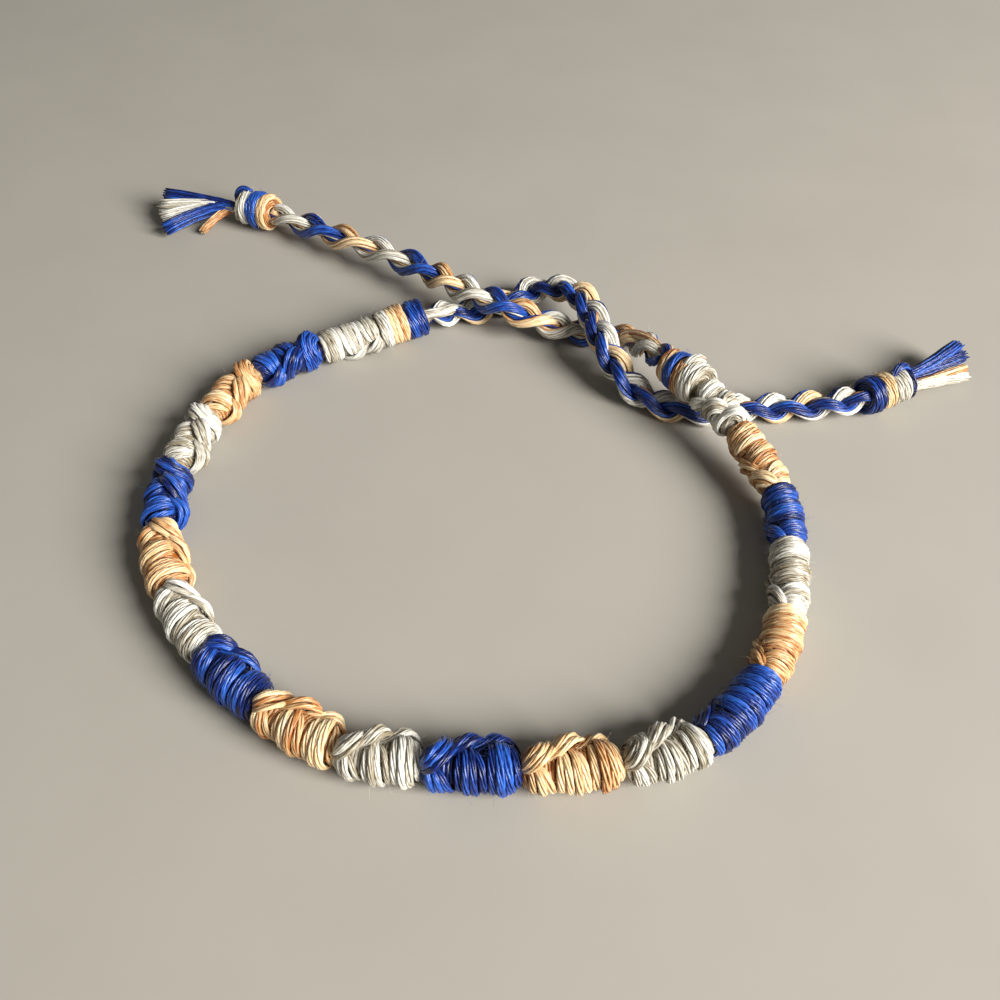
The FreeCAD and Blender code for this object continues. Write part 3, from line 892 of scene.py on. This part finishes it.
# %% Last turns
CROSSINGS = (
    # name, colour, thickness from its middle, places x, y, z
    ("start_knot_crossing", "cream", 0.60,
     ((-10.8, 28.0, 2.4), (-8.9, 27.9, 3.1), (-7.2, 28.3, 3.1), (-5.6, 29.6, 2.6),
      (-4.2, 30.6, 1.6))),
    ("finish_knot_crossing", "cream", 0.42,
     ((20.2, 13.2, 6.9), (21.0, 13.7, 7.75), (21.9, 14.1, 7.8), (22.7, 14.4, 7.0))),
    ("finish_knot_loop", "peach", 0.52,
     ((14.0, 23.3, 1.9), (14.8, 23.9, 3.1), (16.2, 22.7, 4.2), (17.4, 20.9, 4.9), (18.3, 18.8, 5.2),
      (18.8, 16.6, 5.2))),
    ("tie_a_knot_crossing", "blue", 0.40,
     ((44.6, 15.2, 3.8), (45.3, 15.9, 4.75), (46.2, 16.4, 4.6), (46.9, 16.6, 3.8))),
    ("tie_b_knot_crossing", "blue", 0.45,
     ((-36.7, 53.7, 3.0), (-36.5, 53.8, 4.2), (-35.6, 53.6, 4.9), (-34.4, 53.2, 4.5))),
)

# share of the way out, and threads for each millimetre of the bundle's thickness
CROSSING_RINGS = ((1.0, 22), (0.5, 10))
CROSSING_DIVISIONS = 6
CROSSING_TWIST = 1.2
CROSSING_SKIN = 0.12
CROSSING_TURN_WANDER = 0.05
CROSSING_REACH_WANDER = 0.015


def make_crossing(name, colour, thickness, places):
    middle = curve_through(np.array(places) - MIDDLE, CROSSING_DIVISIONS)
    ahead = unit(np.gradient(middle, axis=0))
    side = unit(np.cross(ahead, UP))
    above = np.cross(side, ahead)
    yarn = Yarn()
    run = np.linspace(0, 1, len(middle))
    for share, crowd in CROSSING_RINGS:
        starts = np.linspace(0, 2 * np.pi, round(thickness * crowd), endpoint=False)
        for angle in starts + dice.normal(0, 0.1):
            turn = angle + run * CROSSING_TWIST + wander(len(run), CROSSING_TURN_WANDER)
            outward = side * np.cos(turn)[:, None] + above * np.sin(turn)[:, None]
            reach = share * (thickness - CROSSING_SKIN) \
                + wander(len(run), CROSSING_REACH_WANDER)
            yarn.add(middle + outward * reach[:, None], outward, ply_radius(), 0, any_tone())
    yarn.piece(name + "_strand", [colour], colour + "_floss", [])


for crossing in CROSSINGS:
    make_crossing(*crossing)
print("with the crossings, triangles", sum(tally.values()))

# %% [markdown]
# The braid. Each tie is a plain flat braid of three strands. Seen from above, a strand swings
# from side to side like a sine, and it rises and dips twice for each swing, so that it is on top
# each time it comes in from an edge. Three strands a third of a swing apart make the plait. At
# both ends the knots grip it, so that it is narrower there.

# %% The way of a strand
BRAID_HALF_HEIGHT = 0.80
GRIP = 0.62
GRIP_LENGTH = 3.5


def grip_at(length, whole):
    part = np.minimum(1.0, np.minimum(length, whole - length) / GRIP_LENGTH)
    return GRIP + (1 - GRIP) * part * part * (3 - 2 * part)


def strand_line(route, length, swing, reach):
    # The middle of a strand, and the ways ahead, to the right and up from it
    centre, _, right, up = route.frame(length)
    middle = centre + right * (reach * np.sin(swing))[:, None] \
        + up * (BRAID_HALF_HEIGHT * np.sin(2 * swing))[:, None]
    ahead = unit(np.gradient(middle, axis=0))
    right = unit(np.cross(ahead, UP))
    return middle, ahead, right, np.cross(right, ahead)


print("a gripped braid has", GRIP, "of its width")

# %% [markdown]
# Both ties. The turns tables say how many swings were made up to a length. phase is the first
# strand's place in its swing at the start. Every strand is a pair of flosses of two colours, and
# it turns over once for each swing, so that one colour faces up where the strand comes in from
# the near edge and the other at the far edge. near is the place in the swing where it comes in
# from the near edge, and facing is the way that its first colour faces there, from the right over
# the top. All three are in degrees.

# %% Ties
TIE_A_TURNS = ((0.0, 0.0), (80.0, 6.504))
TIE_B_TURNS = ((0.0, 0.0), (38.6, 2.969), (75.0, 5.073))
TIES = (
    # name, route, half width, turns, phase, near, facing, colours at the near and the far edge
    ("tie_a", tie_a_route, 1.02, TIE_A_TURNS, 172, 55, 48,
     (("blue", "cream"), ("blue", "peach"), ("blue", "cream"))),
    ("tie_b", tie_b_route, 1.16, TIE_B_TURNS, 245, 235, 132,
     (("blue", "cream"), ("peach", "blue"), ("cream", "peach"))),
)
STRAND_SLOTS = ("blue_floss", "peach_floss", "cream_floss")
print("ties", len(TIES))

# %% [markdown]
# A strand of the braid is a ring of sixteen plies round six inner ones, each half of one colour.
# Every fourth ply lies a little deeper, which leaves grooves along the strand.

# %% Braid strands
BRAID_STEP = 0.5
BRAID_TUCK = 0.6
STRAND_WIDTH = 0.64
STRAND_DEPTH = 0.50
OUTER_PLIES = [(angle, 1.0) for angle in np.linspace(0, 2 * np.pi, 16, endpoint=False)]
INNER_PLIES = [(angle, 0.5) for angle in np.linspace(0.2, 6.5, 6, endpoint=False)]
GROOVE = 0.12
TURN_WANDER = 0.09
REACH_WANDER = 0.03
TURN_SLIP = 0.07
HAIRS_PER_STRAND = 90
STRAND_HAIR_TURNS = (-0.3, 3.4)
STRAND_HAIR_ROOT = 0.55


def make_strand(name, route, half_width, turn_rows, phase, near, facing, colours, slot):
    whole = route.marks[-2]
    length = np.arange(0, whole + BRAID_TUCK, BRAID_STEP)
    rows = np.array(turn_rows)
    swing = phase + 2 * np.pi * np.interp(length, rows[:, 0], rows[:, 1])
    grip = grip_at(length, whole)
    middle, ahead, right, up = strand_line(route, length, swing, half_width * grip)
    yarn = Yarn()
    for index, (angle, share) in enumerate(OUTER_PLIES + INNER_PLIES):
        angle = angle + dice.normal(0, TURN_SLIP)
        turn = angle + facing + swing - near + wander(len(length), TURN_WANDER)
        reach = share * (1 + grip) / 2 * (1 - GROOVE * (index % 4 == 0)) \
            + wander(len(length), REACH_WANDER)
        outward = (right * (STRAND_WIDTH * np.cos(turn))[:, None]
                   + up * (STRAND_DEPTH * np.sin(turn))[:, None])
        colour = 0 if math.cos(angle) >= 0 else 1
        yarn.add(middle + outward * reach[:, None], unit(outward), ply_radius(), colour,
                 any_tone())
    for _ in range(HAIRS_PER_STRAND):
        row = dice.integers(2, len(length) - 2)
        turn = dice.uniform(*STRAND_HAIR_TURNS)
        outward = right[row] * math.cos(turn) + up[row] * math.sin(turn)
        add_hair(yarn, middle[row] + outward * STRAND_HAIR_ROOT, outward, ahead[row],
                 int(dice.integers(0, 2)))
    yarn.piece(name + "_floss", colours, slot, [name])


for tie, route, half_width, turn_rows, phase, near, facing, colours in TIES:
    for index, slot in enumerate(STRAND_SLOTS):
        make_strand("%s_strand_%d" % (tie, index + 1), route, half_width, turn_rows,
                    math.radians(phase + 120 * index), math.radians(near), math.radians(facing),
                    colours[index], slot)
print("with the braids, triangles", sum(tally.values()))

# %% [markdown]
# The tassels. Past the last knot the threads are simply cut. They run straight through the knot
# and open into a few loose locks of one colour each, thin where they leave the knot and blunt
# at the cut. The tables say where the tip of each lock lies and how wide it is there.

# %% Locks of the tassels
TIE_A_LOCKS = (
    # colour, tip x, y, z, tip radius
    ("blue", 54.3, 21.6, 3.4, 0.90),
    ("blue", 55.0, 20.8, 2.5, 0.85),
    ("peach", 55.1, 19.5, 1.6, 0.65),
    ("cream", 55.2, 18.6, 1.1, 0.60),
    ("peach", 52.6, 21.3, 1.2, 0.65),
)
TIE_B_LOCKS = (
    # colour, tip x, y, z, tip radius
    ("blue", -47.2, 55.2, 3.0, 1.05),
    ("cream", -47.6, 53.2, 2.4, 1.00),
    ("cream", -47.3, 51.5, 1.8, 0.80),
    ("blue", -46.3, 48.9, 1.5, 1.05),
    ("peach", -41.4, 49.6, 0.7, 0.50),
)
COLOUR_ORDER = ["blue", "peach", "cream"]
print("locks", len(TIE_A_LOCKS), "and", len(TIE_B_LOCKS))

# %% [markdown]
# A lock is a spray of threads between a small disc at the knot and a wider one at its tip, bent
# so that it leaves the knot straight. The threads are laid on the discs like the seeds of a
# sunflower, a golden angle apart, which fills a disc evenly.

# %% Tassels
LOCK_PLIES = 34
LOCK_POINTS = 12
LOCK_ROOT = 0.58
LOCK_INSIDE = 0.6
ROOT_SPREAD = 0.72
STRAIGHT_SHARE = 0.35
GOLDEN_ANGLE = 2.4
CUT_UNEVENNESS = 0.13
LOCK_WANDER = 0.03
KNOT_POINTS = 7
KNOT_SPREAD = 0.35
KNOT_SHIFT = 0.5


def add_lock(yarn, route, colour, tip, tip_radius):
    face, heading = route.frame(route.length)[:2]
    away = tip - face
    aside = unit(away - heading * np.dot(away, heading))
    root = face - heading * LOCK_INSIDE + aside * ROOT_SPREAD
    steer = root + heading * np.linalg.norm(tip - root) * STRAIGHT_SHARE
    ahead = unit(tip - steer)
    right = unit(np.cross(ahead, UP))
    up = np.cross(right, ahead)
    part = np.linspace(0.0, 1.0, LOCK_POINTS)[:, None]
    spread = LOCK_ROOT + (tip_radius - 0.1 - LOCK_ROOT) * part
    inside = np.linspace(route.marks[-2] + 0.1, route.length - LOCK_INSIDE, KNOT_POINTS)
    centre, _, side, rise = route.frame(inside)
    for index in range(LOCK_PLIES):
        angle = GOLDEN_ANGLE * index
        share = math.sqrt((index + 0.5) / LOCK_PLIES)
        across, over = share * math.cos(angle), share * math.sin(angle)
        end = tip + ahead * dice.normal(0, CUT_UNEVENNESS)
        line = root * (1 - part) ** 2 + steer * (2 * part * (1 - part)) + end * part ** 2
        line = line + (right * across + up * over) * spread
        line = line + right * wander(LOCK_POINTS, LOCK_WANDER)[:, None] \
            + up * wander(LOCK_POINTS, LOCK_WANDER)[:, None]
        back = centre + side * (across * KNOT_SPREAD + np.dot(aside, side[-1]) * KNOT_SHIFT) \
            + rise * (over * KNOT_SPREAD + np.dot(aside, rise[-1]) * KNOT_SHIFT)
        line = np.vstack([back, line[1:]])
        yarn.add(line, np.tile(up, (len(line), 1)), ply_radius(), COLOUR_ORDER.index(colour),
                 any_tone())


def make_tassel(name, route, locks):
    yarn = Yarn()
    for colour, *tip, tip_radius in locks:
        add_lock(yarn, route, colour, np.array(tip) - MIDDLE, tip_radius)
    yarn.piece(name + "_threads", COLOUR_ORDER, "blue_floss", [name])


make_tassel("tie_a_tassel", tie_a_route, TIE_A_LOCKS)
make_tassel("tie_b_tassel", tie_b_route, TIE_B_LOCKS)
print("with the tassels, triangles", sum(tally.values()))

# %% [markdown]
# The carried threads. They run inside the hitches and hardly show, so the solid core stays as
# it is and only gets a finish: plain cotton, with a mottle and a grain about as coarse as its
# threads.

# %% Carried threads
CARRIED_SPACING = 0.38


def make_carried():
    material = new_material("carried_cotton_threads")
    place = add_node(material, "ShaderNodeTexCoord")
    grain = add_node(material, "ShaderNodeTexNoise",
                     {"Scale": 1 / (CARRIED_SPACING * MM), "Detail": 2.0},
                     {"Vector": place.outputs["Object"]})
    dye = add_node(material, "ShaderNodeValToRGB", links={"Fac": grain.outputs["Fac"]})
    dye.color_ramp.elements[0].color = linear("#6E5A3C")
    dye.color_ramp.elements[1].color = linear("#C9B48C")
    bump = add_node(material, "ShaderNodeBump", {"Strength": 0.5, "Distance": 0.1 * MM},
                    {"Height": grain.outputs["Fac"]})
    shader = add_node(material, "ShaderNodeBsdfPrincipled", {"Roughness": 0.7, "IOR": 1.53},
                      {"Base Color": dye.outputs["Color"], "Normal": bump.outputs["Normal"]})
    add_node(material, "ShaderNodeOutputMaterial", links={"Surface": shader.outputs["BSDF"]})
    return material


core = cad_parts["band_core"]
core.data.materials.clear()
core.data.materials.append(make_carried())
print("core material", core.data.materials[0].name)

# %% [markdown]
# Last, the count of triangles. The dressed bracelet should keep the solid model's size, to within a
# millimetre of threads and loose fibres; the solid model's box is printed at the start.

# %% Triangles
print("triangles in all", sum(tally.values()), "largest piece", max(tally.values()))
